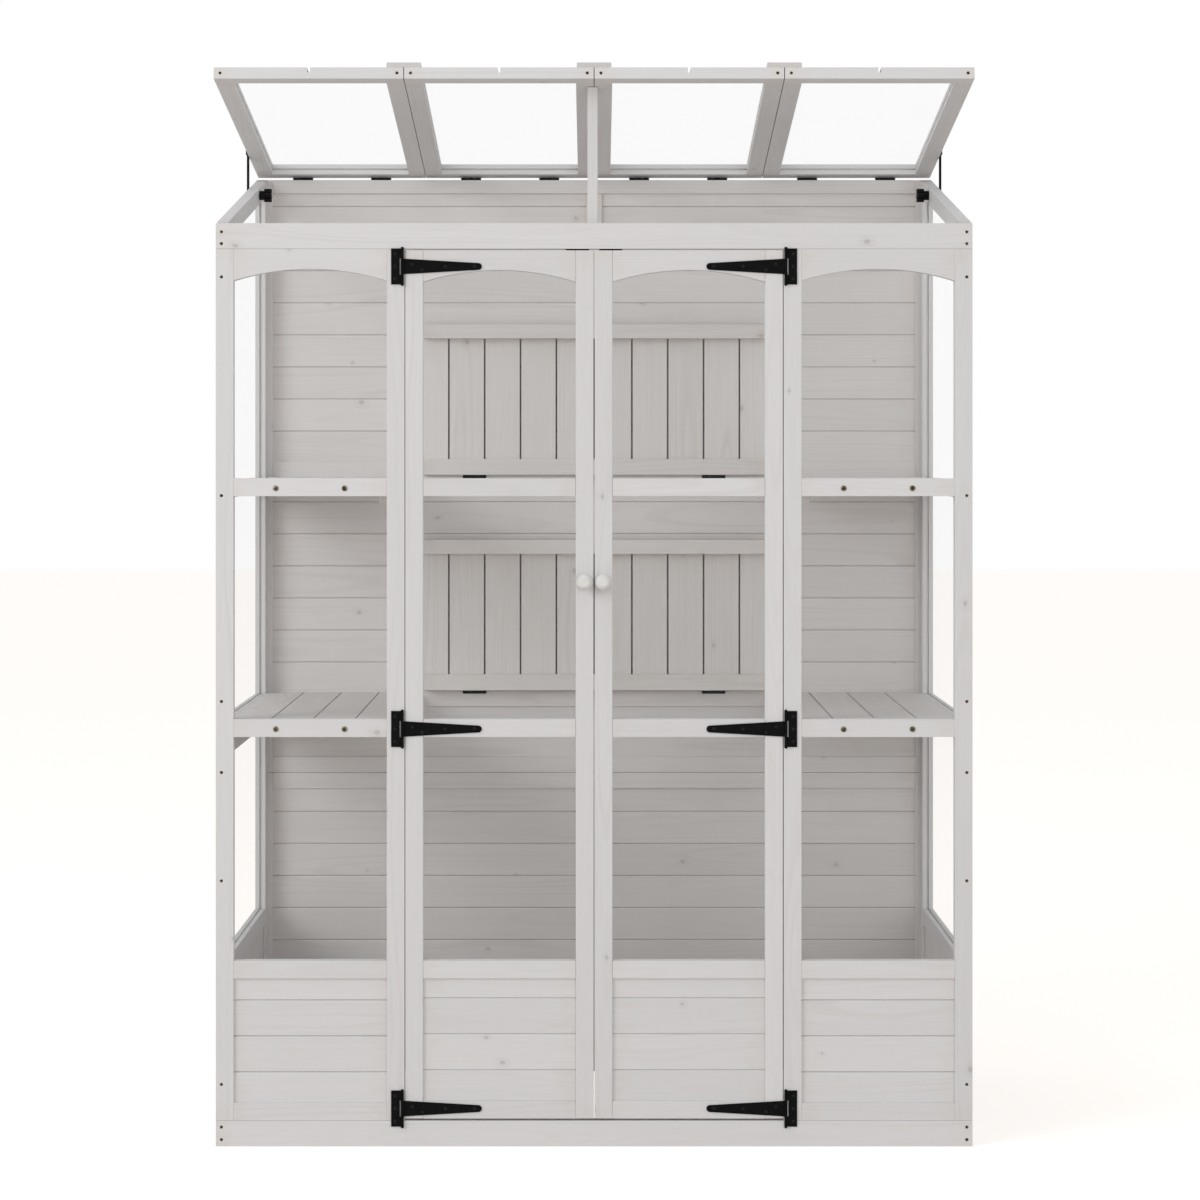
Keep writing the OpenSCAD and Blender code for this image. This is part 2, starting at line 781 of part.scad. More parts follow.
// Fixed shelves: boards from front to back over two battens
shelf_play = 0.2;
shelf_front = wall_y0 + shelf_play;
shelf_back = back_y - shelf_play;
shelf_out = wall_in - seat_gap;
slat_count = 4;
shelf_in = shelf_out - slat_count * slat_w - (slat_count - 1) * slat_gap;

module side_shelf(side, top) {
    under = top - slat_t;
    color(shade_paint) mirrored(side) difference() {
        union() {
            for (n = [0 : slat_count - 1]) {
                x = shelf_out - n * (slat_w + slat_gap);
                slab([x - slat_w, shelf_front, under], [x, shelf_back, top]);
            }
            for (y = [shelf_front, shelf_back - batten_t])
                slab([shelf_in, y, under - joint_gap - batten_h],
                    [shelf_out, y + batten_t, under - joint_gap]);
        }
        shelf_bores();
    }
}

// Cleats under the inner boards of the fixed shelves. Their tongues carry the free edges
// of the lowered folding shelves
rest_w = 34;
rest_l = 56;
rest_h = 22;
rest_tongue = 34;
rest_y = fold_pin_y - fold_lift - fold_l - 2;

module shelf_rests() {
    step = slat_t + fold_batten_t + joint_gap + seat_gap;
    tops = [lower_shelf_z, upper_shelf_z];
    color(shade_paint) for (side = [-1, 1], top = tops) mirrored(side) {
        slab([shelf_in + 2 - rest_tongue, rest_y, top - step - rest_h],
            [shelf_in + 2 + rest_l, rest_y + rest_w, top - step]);
        slab([shelf_in + 2, rest_y, top - step + joint_gap],
            [shelf_in + 2 + rest_l, rest_y + rest_w, top - slat_t - joint_gap]);
    }
}

// Folding shelves, stored upright against the back wall
module fold_slats() {
    half = fold_w / 2;
    edges = [
        [fold_gap / 2, fold_gap / 2 + fold_mid_w],
        for (n = [0 : 2]) let (x = fold_gap * 1.5 + fold_mid_w + n * (fold_slat_w + fold_gap))
            [x, x + fold_slat_w],
        [fold_gap * 4.5 + fold_mid_w + 3 * fold_slat_w, half]
    ];
    for (side = [-1, 1], e = edges) mirrored(side)
        slab([e[0], -slat_t, fold_lift], [e[1], 0, fold_lift + fold_l]);
}

module folding_shelf(z) {
    half = fold_w / 2;
    near = -slat_t - joint_gap;
    color(shade_paint) translate([0, fold_pin_y, z]) {
        fold_slats();
        slab([-half, near - fold_batten_t, fold_lift], [half, near, fold_lift + board_w]);
        slab([-half, near - fold_batten_t, fold_lift + fold_l - fold_batten_w],
            [half, near, fold_lift + fold_l]);
    }
}

// Butt hinges. A leaf lies along -Y from its pin, at a height above or below it.
// The outer leaf has two knuckles and the pin, the inner leaf one knuckle.
knuckle_room = 0.4;
knuckle_lap = 0.1;
knuckle_tuck = 0.3;

module knuckle(from, to, rise, thick, r, hole_r) {
    root = r + knuckle_room + knuckle_lap;
    translate([from, 0, 0]) along_x(to - from) difference() {
        union() {
            circle(r = r);
            translate([-root, rise]) square([root - r * knuckle_tuck, thick]);
        }
        if (hole_r > 0) circle(r = hole_r);
    }
}

module leaf(width, reach, rise, thick, r, pin_r, outer) {
    half = width / 2;
    edge = width / 6;
    slab([-half, -reach, rise], [half, -r - knuckle_room, rise + thick]);
    if (outer) {
        for (side = [-1, 1]) mirrored(side)
            knuckle(edge + knuckle_play, half, rise, thick, r, 0);
        bar_x(pin_r, width);
    }
    else knuckle(-edge, edge, rise, thick, r, pin_r + pin_play);
}

roof_hinge_xs = [
    for (n = [0 : 3], s = [-1, 1]) (n - 1.5) * skylight_w + s * (skylight_w / 2 - roof_hinge_inset)
];

// The leaves of the roof hinges lie on the back faces of the wall and of the roof
roof_leaf_seat = 0.05;

module roof_leaf(rise, outer) {
    for (x = roof_hinge_xs) translate([x, 0, 0]) rotate([outer ? 90 : -90, 0, 0])
        leaf(roof_hinge_w, roof_leaf_l, rise, roof_leaf_t, roof_knuckle_r, roof_pin_r, outer);
}

module roof_hinge_plates() {
    color(iron) translate([0, roof_pin_y, roof_pin_z])
        roof_leaf(pin_back - roof_leaf_t - roof_leaf_seat, true);
}

module roof_hinge_flaps() {
    color(iron) on_roof() {
        roof_leaf(roof_leaf_seat, false);
        translate([prop_x, -prop_reach, prop_pin_v]) mirror([0, 1, 0]) leaf(prop_hinge_w,
            prop_leaf_l, prop_under - leaf_t, leaf_t, prop_knuckle_r, prop_pin_r, true);
    }
}

module fold_leaf(z, rise, outer) {
    for (x = [-fold_hinge_x, fold_hinge_x]) translate([x, fold_pin_y, z]) rotate([-90, 0, 0])
        leaf(fold_hinge_w, fold_leaf_l, rise, leaf_t, fold_knuckle_r, fold_pin_r, outer);
}

module fold_hinge_plates() {
    color(iron) for (z = [lower_shelf_z, upper_shelf_z])
        fold_leaf(z, back_y - fold_pin_y - leaf_t, true);
}

module fold_flaps(z) {
    color(iron) fold_leaf(z, 0, false);
}

// Skylights: in the roof's own frame the pin is the origin and the front is at -Y
notch_w = 5.4;
notch_d = 10;

module skylight(n) {
    x0 = (n - 3) * skylight_w + skylight_gap / 2;
    x1 = (n - 2) * skylight_w - skylight_gap / 2;
    low = roof_under;
    high = roof_under + board_t;
    mid = (low + high) / 2;
    near = -skylight_l;
    color(paint) on_roof() difference() {
        union() {
            slab([x0, near, low], [x1, near + board_w, high]);
            slab([x0, -board_w, low], [x1, 0, high]);
            for (x = [x0, x1 - board_w])
                slab([x, near + board_w + joint_gap, low],
                    [x + board_w, -board_w - joint_gap, high]);
        }
        slab([x0 + board_w - groove_d, near + board_w - groove_d, mid - pane_slot / 2],
            [x1 - board_w + groove_d, groove_d - board_w, mid + pane_slot / 2]);
        slab([(x0 + x1 - notch_w) / 2, near - 1, high - notch_d],
            [(x0 + x1 + notch_w) / 2, near + board_w + 1, high + 1]);
        roof_bores();
    }
}

module skylight_panes() {
    tuck = groove_d - groove_play;
    mid = roof_under + board_t / 2;
    color(clear) on_roof() for (n = [1 : 4]) {
        x0 = (n - 3) * skylight_w + skylight_gap / 2 + board_w - tuck;
        x1 = (n - 2) * skylight_w - skylight_gap / 2 - board_w + tuck;
        slab([x0, -skylight_l + board_w - tuck, mid - pane_t / 2],
            [x1, tuck - board_w, mid + pane_t / 2]);
    }
}

strip_bevel = 2;

module seam_strips() {
    high = roof_under + board_t;
    color(paint) on_roof() for (n = [-1, 0, 1]) difference() {
        slab([n * skylight_w - strip_w / 2, -skylight_l, high],
            [n * skylight_w + strip_w / 2, 0, high + strip_t]);
        for (s = [-1, 1]) translate([n * skylight_w + s * strip_w / 2, 0, high + strip_t])
            rotate([0, 45, 0]) cube([strip_bevel, 3 * skylight_l, strip_bevel], center = true);
    }
}

// Screws of the roof: one near each end of each front rail, and the stay pivots
roof_screw_inset = 13;
roof_screw_xs = [
    for (n = [0 : 3], s = [-1, 1]) (n - 1.5) * skylight_w + s * (skylight_w / 2 - roof_screw_inset)
];
pivot_r = 2.5;
pivot_l = 18;
pivot_in = 12;
pivot_head_r = 5;
pivot_head_l = 2.4;
drive_r = 1;

module roof_screw(x, y, r, length) {
    translate([x, y, roof_under + board_t / 2]) rotate([-90, 0, 0]) cylinder(r = r, h = length);
}

module roof_bores() {
    for (x = roof_screw_xs) roof_screw(x, -skylight_l - 1, post_screw_r + bore_play, screw_len + 2);
    for (side = [-1, 1]) translate([side * wall_x, -stay_reach, stay_mid])
        bar_x(pivot_r + bore_play, 2 * (pivot_in + 1));
}

module roof_screws() {
    color(iron) on_roof() {
        for (x = roof_screw_xs) difference() {
            roof_screw(x, -skylight_l + screw_sink, post_screw_r, screw_len - screw_sink);
            roof_screw(x, -skylight_l + screw_sink - 1, drive_r, 2);
        }
        for (side = [-1, 1]) translate([0, -stay_reach, stay_mid]) mirrored(side) {
            translate([wall_x - pivot_in + pivot_l / 2, 0, 0]) bar_x(pivot_r, pivot_l);
            translate([stay_x + stay_t + stay_washer + pivot_head_l / 2, 0, 0])
                bar_x(pivot_head_r, pivot_head_l);
        }
    }
}

// Middle prop, hinged under the seam between the second and the third skylight
module on_prop() {
    translate([prop_x, prop_pin_y, prop_pin_z]) rotate([prop_lean, 0, 0]) children();
}

// Height of the roof's underside over the prop's pin, less some room, in the prop's frame
function prop_top(y) =
    (prop_under - prop_room) / cos(roof_rest - prop_lean) + y * tan(roof_rest - prop_lean);

module prop() {
    color(paint) on_prop() translate([-prop_w / 2, 0, 0]) along_x(prop_w) polygon([
        [-prop_front, -prop_l], [-prop_back, -prop_l],
        [-prop_back, prop_top(-prop_back)], [-prop_front, prop_top(-prop_front)]
    ]);
}

module prop_hinge_flap() {
    color(iron) on_prop() rotate([90, 0, 0]) leaf(prop_hinge_w, prop_leaf_l,
        prop_back - leaf_t, leaf_t, prop_knuckle_r, prop_pin_r, false);
}

// Side stays: a slotted bar from the skylight's edge to a clamp bolt in the wall
stay_end = 6;
slot_spare = 1;

module stay(side) {
    tail = stay_drop + stay_slot_r + stay_end;
    slot_low = -stay_drop - slot_spare;
    slot_high = -stay_shut_drop + slot_spare;
    color(iron) mirrored(side) translate([stay_x, stay_top_y, stay_top_z]) difference() {
        along_x(stay_t) difference() {
            union() {
                circle(r = stay_w / 2);
                translate([-stay_w / 2, -tail]) square([stay_w, tail]);
                translate([0, -tail]) circle(r = stay_w / 2);
            }
            translate([-stay_slot_r, slot_low]) square([2 * stay_slot_r, slot_high - slot_low]);
            for (z = [slot_low, slot_high]) translate([0, z]) circle(r = stay_slot_r);
        }
        bar_x(pivot_r + pin_play, 3 * stay_t);
    }
}

knob_base_r = 9.75;
knob_base_l = 10.5;
star_r = 15;
star_l = 14.5;
star_arms = 6;
star_lobe = 0.32;
bolt_tip = 19;
bolt_head_r = 8;
bolt_head_l = 3;

module clamp_bolts() {
    color(iron) for (side = [-1, 1]) mirrored(side) translate([0, bolt_y, bolt_z]) {
        out = stay_x + stay_t + stay_washer;
        translate([(out + wall_in - bolt_tip) / 2, 0, 0]) bar_x(bolt_r, out - wall_in + bolt_tip);
        translate([out + bolt_head_l / 2, 0, 0]) bar_x(bolt_head_r, bolt_head_l);
    }
}

module clamp_knob(side) {
    lobe = star_r * star_lobe;
    color(iron) mirrored(side) translate([wall_in - seat_gap, bolt_y, bolt_z]) difference() {
        union() {
            translate([-knob_base_l / 2, 0, 0]) bar_x(knob_base_r, knob_base_l);
            translate([-knob_base_l - star_l, 0, 0]) along_x(star_l) {
                circle(r = star_r - lobe);
                for (n = [0 : star_arms - 1]) rotate(n * 360 / star_arms)
                    translate([star_r - lobe, 0]) circle(r = lobe);
            }
        }
        bar_x(bolt_r + pin_play, 2 * (bolt_tip + 1));
    }
}

placed() front_rails();
placed() fixed_panel_frame(-1);  // left_panel_frame
placed() fixed_panel_planks(-1);  // left_panel_planks
placed() fixed_panel_frame(1);  // right_panel_frame
placed() fixed_panel_planks(1);  // right_panel_planks
placed() front_panes();
placed() wall_frame(-1);  // left_wall_frame
placed() wall_planks(-1);  // left_wall_planks
placed() wall_frame(1);  // right_wall_frame
placed() wall_planks(1);  // right_wall_planks
placed() side_panes();
placed() lower_back(false);  // back_lower_frame
placed() lower_back(true);  // back_lower_planks
placed() middle_back(false);  // back_middle_frame
placed() middle_back(true);  // back_middle_planks
placed() upper_back(false);  // back_upper_frame
placed() upper_back(true);  // back_upper_planks
placed() side_shelf(-1, lower_shelf_z);  // left_lower_shelf
placed() side_shelf(-1, upper_shelf_z);  // left_upper_shelf
placed() side_shelf(1, lower_shelf_z);  // right_lower_shelf
placed() side_shelf(1, upper_shelf_z);  // right_upper_shelf
placed() shelf_rests();
placed() door_catches();
placed() frame_screws();
placed() shelf_screws();
placed() door_hinge_plates();
placed() roof_hinge_plates();
placed() fold_hinge_plates();
placed() clamp_bolts();
placed() door_frame(-1);  // left_door_frame
placed() door_planks(-1);  // left_door_planks
placed() door_panes(-1);  // left_door_panes
placed() door_straps(-1);  // left_door_straps
placed() door_knob(-1);  // left_door_knob
placed() strike(-1);  // left_strike
placed() door_frame(1);  // right_door_frame
placed() door_planks(1);  // right_door_planks
placed() door_panes(1);  // right_door_panes
placed() door_straps(1);  // right_door_straps
placed() door_knob(1);  // right_door_knob
placed() strike(1);  // right_strike
placed() skylight(1);  // skylight_1
placed() skylight(2);  // skylight_2
placed() skylight(3);  // skylight_3
placed() skylight(4);  // skylight_4
placed() skylight_panes();
placed() seam_strips();
placed() roof_hinge_flaps();
placed() roof_screws();
placed() prop();
placed() prop_hinge_flap();
placed() stay(-1);  // left_stay
placed() stay(1);  // right_stay
placed() clamp_knob(-1);  // left_clamp_knob
placed() clamp_knob(1);  // right_clamp_knob
placed() folding_shelf(lower_shelf_z);  // lower_folding_shelf
placed() fold_flaps(lower_shelf_z);  // lower_fold_flaps
placed() folding_shelf(upper_shelf_z);  // upper_folding_shelf
placed() fold_flaps(upper_shelf_z);  // upper_fold_flaps
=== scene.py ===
"""Looks of a lean-to greenhouse in white stained softwood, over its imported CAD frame.

The boards keep their CAD shapes. A node group finds each board's length, width and
thickness, so that grain, rings and knots run along every board, and a bevel softens the
edges. Screw heads and the bare rims of sunk screws are added as small pieces.
"""
import json
import math

import bmesh
import bpy
from mathutils import Matrix, Vector


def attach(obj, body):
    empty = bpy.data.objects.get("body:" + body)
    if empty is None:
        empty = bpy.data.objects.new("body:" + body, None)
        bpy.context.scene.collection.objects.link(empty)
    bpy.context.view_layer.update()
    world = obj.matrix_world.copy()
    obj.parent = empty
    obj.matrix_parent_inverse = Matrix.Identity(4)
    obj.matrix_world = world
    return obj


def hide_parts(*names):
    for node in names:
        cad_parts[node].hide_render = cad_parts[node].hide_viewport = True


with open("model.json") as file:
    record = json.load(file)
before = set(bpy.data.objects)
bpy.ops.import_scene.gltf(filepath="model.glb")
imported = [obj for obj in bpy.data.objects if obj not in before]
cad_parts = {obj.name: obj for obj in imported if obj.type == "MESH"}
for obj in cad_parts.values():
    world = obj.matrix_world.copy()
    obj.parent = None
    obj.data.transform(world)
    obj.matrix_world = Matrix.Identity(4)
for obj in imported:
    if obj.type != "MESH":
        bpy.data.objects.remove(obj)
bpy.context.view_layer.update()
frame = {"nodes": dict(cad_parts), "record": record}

# Places shared with the CAD, in metres: the depth from the front face to the middle of the
# overall box, where a folding shelf's own outer faces lie, which are kept out of the painted
# shade between the slats, and how far a pane's edge stands in its groove, where the pane is
# drawn opaque and pale. ROOF_SLOPE is the open roof's angle about X
MID_Y = 0.353786
FOLD_SIDE, FOLD_SIDE_REACH = 0.3745, 0.0105
PANE_TUCK = 0.0062
ROOF_SLOPE = math.radians(-8.57595)

# Places shared with the CAD, in millimetres. Door hinges: heights, pins, the straps' front
# face, and the screws' places from the pin in the plates and the straps
HINGE_ZS = (72.5, 799.5, 1685.5)
PIN_X = 367.25
STRAP_FACE = -2.2
PLATE_SPOTS = ((14, -24), (14, 0), (14, 24))
STRAP_SPOTS = ((19, 4), (38, -6.5), (82, 0), (138, 0.5))
# Screws in the corner posts, the shelves' front rails and the roof's front rails
POST_SCREW_X = 714
POST_SCREW_ZS = (12.74, 36.75, 118.5, 508.5, 716, 852, 1246.5, 1665.5, 1729.3, 1751.84)
SHELF_SCREW_XS = (610, 478)
SHELF_SCREW_ZS = (799, 1260.5)
ROOF_SCREW_XS = (-712, -375.5, -349.5, -13, 13, 349.5, 375.5, 712)
ROOF_PIN_Y, ROOF_PIN_Z = 742, 1919.51
ROOF_SCREW_OUT, ROOF_SCREW_UP = 791, 14.2

# Camera, in metres from the front face and the ground, with the photograph's framing
CAMERA_OUT, CAMERA_UP = 5.868, 1.3185
LENS = 91.89
SHIFT = (0.0049, -0.1183)
# Light: the sky's strength, the floor's colour, and the glow that only a camera sees on it
SKY = 0.60
FLOOR = (0.72, 0.67, 0.625)
FLOOR_GLOW = 0.57
# Name, place, aim, size and watts of each lamp
LAMPS = [
    ("key", (-5.6, -4.6, 3.9), (0.0, 0.0, 1.0), 4.0, 184.0),
    ("fill", (2.6, -7.0, 1.6), (0.0, 0.0, 1.0), 4.0, 88.0),
    ("top", (-0.6, -0.6, 5.6), (0.0, 0.0, 0.5), 3.0, 14.0),
]

# Width of the bevel along the boards' edges, and the share of a board's grid cells that hold
# a knot
EDGE = 0.0011
KNOT_SHARE = 0.28


class Tree:
    """Short calls that add and link the nodes of one node tree."""

    def __init__(self, tree):
        self.tree = tree

    def add(self, kind, inputs=(), **settings):
        node = self.tree.nodes.new(kind)
        for name, value in settings.items():
            setattr(node, name, value)
        for name, value in dict(inputs).items():
            self.feed(node.inputs[name], value)
        return node

    def feed(self, socket, value):
        if isinstance(value, bpy.types.NodeSocket):
            self.tree.links.new(value, socket)
        elif isinstance(value, bpy.types.Node):
            self.tree.links.new(value.outputs[0], socket)
        else:
            socket.default_value = value

    def math(self, operation, *values, clamp=False):
        node = self.tree.nodes.new("ShaderNodeMath")
        node.operation = operation
        node.use_clamp = clamp
        for socket, value in zip(node.inputs, values):
            self.feed(socket, value)
        return node.outputs[0]

    def vector(self, operation, *values, out=0):
        node = self.tree.nodes.new("ShaderNodeVectorMath")
        node.operation = operation
        for socket, value in zip(node.inputs, values):
            self.feed(socket, value)
        return node.outputs[out]

    def ramp(self, value, low, high, to_low=0.0, to_high=1.0):
        """value moved from low..high to to_low..to_high, with soft ends."""
        inputs = {"Value": value, "From Min": low, "From Max": high}
        inputs.update({"To Min": to_low, "To Max": to_high})
        node = self.add("ShaderNodeMapRange", inputs, interpolation_type="SMOOTHSTEP")
        return node.outputs[0]

    def noise(self, vector, detail=2.0, roughness=0.5):
        inputs = {"Vector": vector, "Scale": 1.0, "Detail": detail, "Roughness": roughness}
        return self.add("ShaderNodeTexNoise", inputs).outputs["Fac"]

    def split(self, vector):
        return self.add("ShaderNodeSeparateXYZ", {0: vector}).outputs

    def scaled(self, vector, x, y, z):
        return self.vector("MULTIPLY", vector, (x, y, z))

    def stored(self, name, output="Vector"):
        """An attribute that the boards' node group stores."""
        node = self.add("ShaderNodeAttribute", attribute_name=name, attribute_type="GEOMETRY")
        return node.outputs[output]

    def shaded(self, colour, tone):
        """colour times tone."""
        node = self.add("ShaderNodeVectorMath", operation="SCALE")
        self.feed(node.inputs[0], colour)
        self.feed(node.inputs["Scale"], tone)
        return node.outputs[0]

    def bump(self, height, strength, distance):
        inputs = {"Height": height, "Strength": strength, "Distance": distance}
        return self.add("ShaderNodeBump", inputs)

    def gloss(self, colour, rough, relief, shine, metallic=0.0):
        """A principled surface. relief is a bump node."""
        inputs = {
            "Base Color": colour,
            "Roughness": rough,
            "Normal": relief,
            "Specular IOR Level": shine,
            "Metallic": metallic,
        }
        return self.add("ShaderNodeBsdfPrincipled", inputs)

    def mix(self, share, first, second):
        node = self.tree.nodes.new("ShaderNodeMix")
        node.data_type = "RGBA"
        self.feed(node.inputs["Factor"], share)
        self.feed(node.inputs[6], first)
        self.feed(node.inputs[7], second)
        return node.outputs[2]


def new_material(name):
    mat = bpy.data.materials.new(name)
    mat.use_nodes = True
    mat.node_tree.nodes.clear()
    tree = Tree(mat.node_tree)
    return mat, tree, tree.add("ShaderNodeOutputMaterial")


def rgb(*values):
    return (*values, 1.0)


# Camera, world, floor and lamps
def add_camera():
    data = bpy.data.cameras.new("camera")
    data.sensor_width = 36.0
    data.lens = LENS
    data.shift_x, data.shift_y = SHIFT
    data.clip_end = 100.0
    camera = bpy.data.objects.new("camera", data)
    camera.location = (0.0, -CAMERA_OUT - MID_Y, CAMERA_UP)
    camera.rotation_euler = (math.radians(90), 0.0, 0.0)
    bpy.context.collection.objects.link(camera)
    bpy.context.scene.camera = camera


def seen_rays(tree):
    """1 on rays that show the background: camera, mirror and refraction rays."""
    path = tree.add("ShaderNodeLightPath")
    seen = tree.math("MAXIMUM", path.outputs["Is Camera Ray"], path.outputs["Is Glossy Ray"])
    return tree.math("MAXIMUM", seen, path.outputs["Is Transmission Ray"])


def add_world():
    world = bpy.data.worlds.new("studio")
    bpy.context.scene.world = world
    world.use_nodes = True
    world.node_tree.nodes.clear()
    tree = Tree(world.node_tree)
    light = tree.add("ShaderNodeBackground", {"Color": rgb(1.0, 1.0, 1.0), "Strength": SKY})
    white = tree.add("ShaderNodeBackground", {"Color": rgb(1.0, 1.0, 1.0), "Strength": 1.0})
    mixed = tree.add("ShaderNodeMixShader", {0: seen_rays(tree), 1: light, 2: white})
    tree.add("ShaderNodeOutputWorld", {"Surface": mixed})


def add_floor():
    bm = bmesh.new()
    bmesh.ops.create_grid(bm, x_segments=8, y_segments=8, size=30.0)
    mesh = bpy.data.meshes.new("floor")
    bm.to_mesh(mesh)
    bm.free()
    floor = bpy.data.objects.new("floor", mesh)
    floor.location = (0.0, 0.0, -0.0006)
    bpy.context.collection.objects.link(floor)
    mat, tree, out = new_material("floor")
    matt = tree.add("ShaderNodeBsdfDiffuse", {"Color": rgb(*FLOOR)})
    glow = tree.add("ShaderNodeEmission", {"Color": rgb(1.0, 1.0, 1.0), "Strength": FLOOR_GLOW})
    both = tree.add("ShaderNodeAddShader", {0: matt, 1: glow})
    mixed = tree.add("ShaderNodeMixShader", {0: seen_rays(tree), 1: matt, 2: both})
    tree.feed(out.inputs["Surface"], mixed)
    mesh.materials.append(mat)


def add_lamp(name, place, aim, size, watts):
    data = bpy.data.lights.new(name, "AREA")
    data.shape = "DISK"
    data.size = size
    data.energy = watts
    lamp = bpy.data.objects.new(name, data)
    lamp.location = place
    lamp.rotation_euler = (Vector(aim) - Vector(place)).to_track_quat("-Z", "Y").to_euler()
    bpy.context.collection.objects.link(lamp)


add_camera()
add_world()
add_floor()
for lamp_values in LAMPS:
    add_lamp(*lamp_values)
bpy.context.scene.view_settings.view_transform = "Standard"


# Boards: a node group that finds each board's own axes
def board_group():
    group = bpy.data.node_groups.new("board_grain", "GeometryNodeTree")
    sockets = [
        ("Geometry", "INPUT", "NodeSocketGeometry"),
        ("Slope", "INPUT", "NodeSocketFloat"),
        ("Seed", "INPUT", "NodeSocketInt"),
        ("Geometry", "OUTPUT", "NodeSocketGeometry"),
    ]
    for name, way, kind in sockets:
        group.interface.new_socket(name=name, in_out=way, socket_type=kind)
    tree = Tree(group)
    given = tree.add("NodeGroupInput")
    slope = given.outputs["Slope"]
    inputs = {"Geometry": given.outputs["Geometry"], "Distance": 1e-5}
    welded = tree.add("GeometryNodeMergeByDistance", inputs)
    inputs = {"Mesh": welded, "Remove Custom": True, "Face Sharpness": True}
    plain = tree.add("GeometryNodeSetMeshNormal", inputs, mode="SHARPNESS")

    place = tree.add("GeometryNodeInputPosition")
    inputs = {"Vector": place, "Angle": slope}
    turned = tree.add("ShaderNodeVectorRotate", inputs, rotation_type="X_AXIS").outputs[0]
    island = tree.add("GeometryNodeInputMeshIsland").outputs["Island Index"]
    ends = tree.add("GeometryNodeFieldMinAndMax", data_type="FLOAT_VECTOR", domain="POINT")
    tree.feed(ends.inputs["Value"], turned)
    tree.feed(ends.inputs["Group ID"], island)
    low, high = ends.outputs["Min"], ends.outputs["Max"]
    size = tree.split(tree.vector("SUBTRACT", high, low))
    middle = tree.vector("MULTIPLY", tree.vector("ADD", high, low), (0.5, 0.5, 0.5))
    near = tree.split(tree.vector("SUBTRACT", turned, middle))

    def larger(first, second):
        return tree.math("GREATER_THAN", size[first], size[second])

    def choose(test, no, yes):
        node = tree.add("GeometryNodeSwitch", input_type="VECTOR")
        tree.feed(node.inputs[0], test)
        tree.feed(node.inputs[1], no)
        tree.feed(node.inputs[2], yes)
        return node.outputs[0]

    def order(*axes):
        node = tree.add("ShaderNodeCombineXYZ")
        for socket, axis in zip(node.inputs, axes):
            tree.feed(socket, near[axis])
        return node.outputs[0]

    def longest(along_x, along_y, along_z):
        x_long = tree.math("MULTIPLY", larger(0, 1), larger(0, 2))
        return choose(x_long, choose(larger(1, 2), along_z, along_y), along_x)

    spot = longest(
        choose(larger(1, 2), order(0, 2, 1), order(0, 1, 2)),
        choose(larger(0, 2), order(1, 2, 0), order(1, 0, 2)),
        choose(larger(0, 1), order(2, 1, 0), order(2, 0, 1)),
    )
    length = longest((1.0, 0.0, 0.0), (0.0, 1.0, 0.0), (0.0, 0.0, 1.0))
    inputs = {"Vector": length, "Angle": slope}
    length = tree.add("ShaderNodeVectorRotate", inputs, rotation_type="X_AXIS", invert=True)
    length = length.outputs[0]
    long_side = tree.math("MAXIMUM", tree.math("MAXIMUM", size[0], size[1]), size[2])
    thin_side = tree.math("MINIMUM", tree.math("MINIMUM", size[0], size[1]), size[2])
    mid_side = tree.math("ADD", size[0], tree.math("ADD", size[1], size[2]))
    mid_side = tree.math("SUBTRACT", mid_side, tree.math("ADD", long_side, thin_side))
    half = tree.add("ShaderNodeCombineXYZ")
    for socket, value in zip(half.inputs, (long_side, mid_side, thin_side)):
        tree.feed(socket, tree.math("MULTIPLY", value, 0.5))
    normal = tree.add("GeometryNodeInputNormal").outputs[0]
    facing = tree.vector("DOT_PRODUCT", normal, length, out=1)
    end = tree.math("GREATER_THAN", tree.math("ABSOLUTE", facing), 0.9)

    # faces between two slats, which run up or back, get painted shade for the dark narrow gaps; the
    # folding shelf's outer faces are left out
    flat = tree.split(normal)[0]
    run = tree.split(length)[0]
    where = tree.math("ABSOLUTE", tree.split(place)[0])
    side = tree.math("GREATER_THAN", tree.math("ABSOLUTE", flat), 0.9)
    side = tree.math("MULTIPLY", side, tree.math("LESS_THAN", tree.math("ABSOLUTE", run), 0.5))
    outer = tree.math("ABSOLUTE", tree.math("SUBTRACT", where, FOLD_SIDE))
    outer = tree.math("LESS_THAN", outer, FOLD_SIDE_REACH)
    side = tree.math("SUBTRACT", side, outer, clamp=True)

    chance = tree.add("FunctionNodeRandomValue", data_type="FLOAT_VECTOR")
    tree.feed(chance.inputs["ID"], island)
    tree.feed(chance.inputs["Seed"], given.outputs["Seed"])

    shape = plain.outputs[0]
    kept = [
        ("board_spot", "FLOAT_VECTOR", "POINT", spot),
        ("board_chance", "FLOAT_VECTOR", "POINT", chance.outputs[0]),
        ("board_end", "FLOAT", "FACE", end),
        ("slat_gap_shade", "FLOAT", "FACE", side),
        ("board_size", "FLOAT_VECTOR", "POINT", half.outputs[0]),
    ]
    for name, kind, domain, value in kept:
        node = tree.add("GeometryNodeStoreNamedAttribute", data_type=kind, domain=domain)
        tree.feed(node.inputs["Geometry"], shape)
        tree.feed(node.inputs["Name"], name)
        tree.feed(node.inputs["Value"], value)
        shape = node.outputs[0]
    tree.add("NodeGroupOutput", {0: shape})
    sockets = [item for item in group.interface.items_tree if item.in_out == "INPUT"]
    return group, {item.name: item.identifier for item in sockets}


